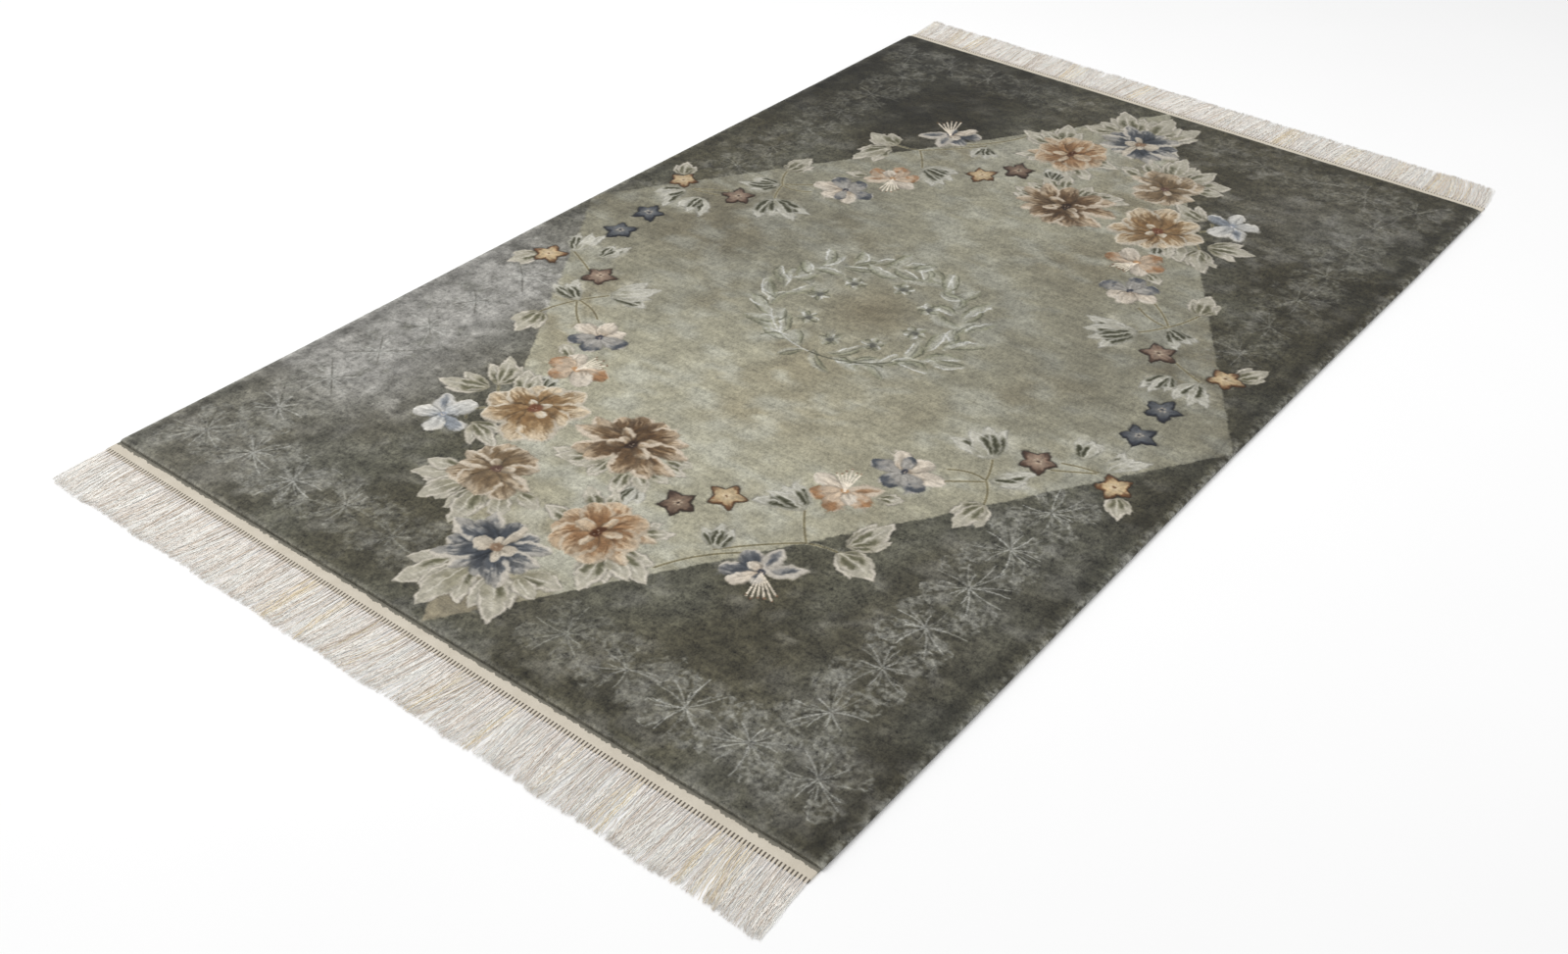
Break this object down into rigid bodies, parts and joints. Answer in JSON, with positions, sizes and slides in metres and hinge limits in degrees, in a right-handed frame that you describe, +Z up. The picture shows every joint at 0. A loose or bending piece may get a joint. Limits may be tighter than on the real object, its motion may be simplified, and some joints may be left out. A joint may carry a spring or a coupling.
{
  "type": "chinese rug",
  "caption": "Flat knotted rug with a carved flower garland on a pale diamond field, woven end bands and long cotton fringe; lies on a floor.",
  "frame": {"origin": "on the floor, under the middle of the rug", "axes": "+Z up out of the pile, +Y along the rug from the near fringe to the far fringe, +X across it"},
  "size_m": [1.52, 2.6566, 0.0127],
  "materials": {
    "pile": "dense clipped pile with a soft sheen, grey-green field, sage diamond and coloured flowers",
    "cotton": "undyed cotton, flat woven band and loose twisted fringe"
  },
  "bodies": {
    "root": {"pile_field": "pile", "fringe_near": "cotton", "fringe_far": "cotton"}
  },
  "joints": []
}
